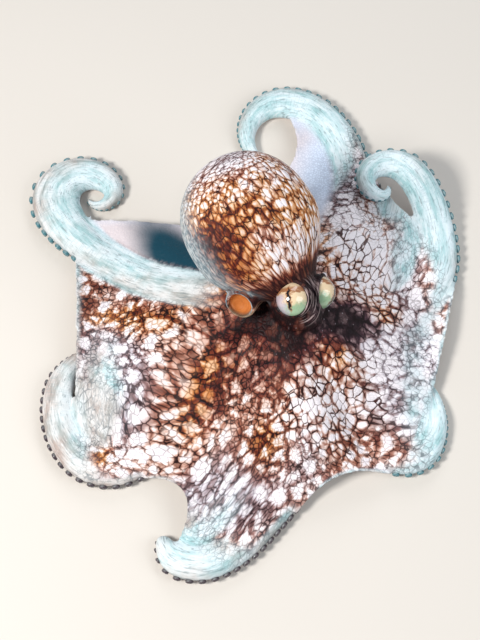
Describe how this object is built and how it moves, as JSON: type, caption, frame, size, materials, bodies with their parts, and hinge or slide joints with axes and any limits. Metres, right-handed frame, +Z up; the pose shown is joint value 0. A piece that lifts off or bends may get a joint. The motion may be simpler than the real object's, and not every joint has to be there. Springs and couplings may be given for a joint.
{
  "type": "octopus",
  "caption": "Octopus spread flat on the ground, life-size still model: webbed arms fanned out with curled tips, mantle leaning back behind the eyes",
  "frame": {"origin": "centre of the bounding box's floor, on the surface the animal rests on", "axes": "+Z up; the animal faces -Y, its left side is towards +X; the mantle leans back towards +Y and -X"},
  "size_m": [0.2368, 0.2846, 0.1014],
  "materials": {
    "skin": "soft wet skin with a dark brown net over cream and orange",
    "mantle_skin": "soft wet skin, brown net over cream and orange",
    "web_skin": "thin wet skin, paler and bluer towards its edge",
    "eye_surface": "wet, smooth",
    "horn": "hard dark beak"
  },
  "bodies": {
    "root": {"arm_l1_base": "skin", "arm_l1_middle": "skin", "arm_l1_tip": "skin", "arm_l2_base": "skin", "arm_l2_middle": "skin", "arm_l2_curl": "skin", "arm_l2_tip": "skin", "arm_l3_base": "skin", "arm_l3_middle": "skin", "arm_l3_curl": "skin", "arm_l3_tip": "skin", "arm_l4_base": "skin", "arm_l4_middle": "skin", "arm_l4_tip": "skin", "arm_r1_base": "skin", "arm_r1_middle": "skin", "arm_r1_tip": "skin", "arm_r2_base": "skin", "arm_r2_middle": "skin", "arm_r2_curl": "skin", "arm_r2_tip": "skin", "arm_r3_base": "skin", "arm_r3_middle": "skin", "arm_r3_curl": "skin", "arm_r3_tip": "skin", "arm_r4_base": "skin", "arm_r4_middle": "skin", "arm_r4_tip": "skin", "web_l2_l3": "web_skin", "web_l3_l4": "web_skin", "web_l4_r4": "web_skin", "web_r4_r3": "web_skin", "web_r3_r2": "web_skin", "web_r2_r1": "web_skin", "web_r1_l1": "web_skin", "web_l1_l2": "web_skin", "head": "skin", "mantle": "mantle_skin", "funnel": "skin", "eye_right": "eye_surface", "eye_left": "eye_surface", "beak": "horn"}
  },
  "joints": []
}
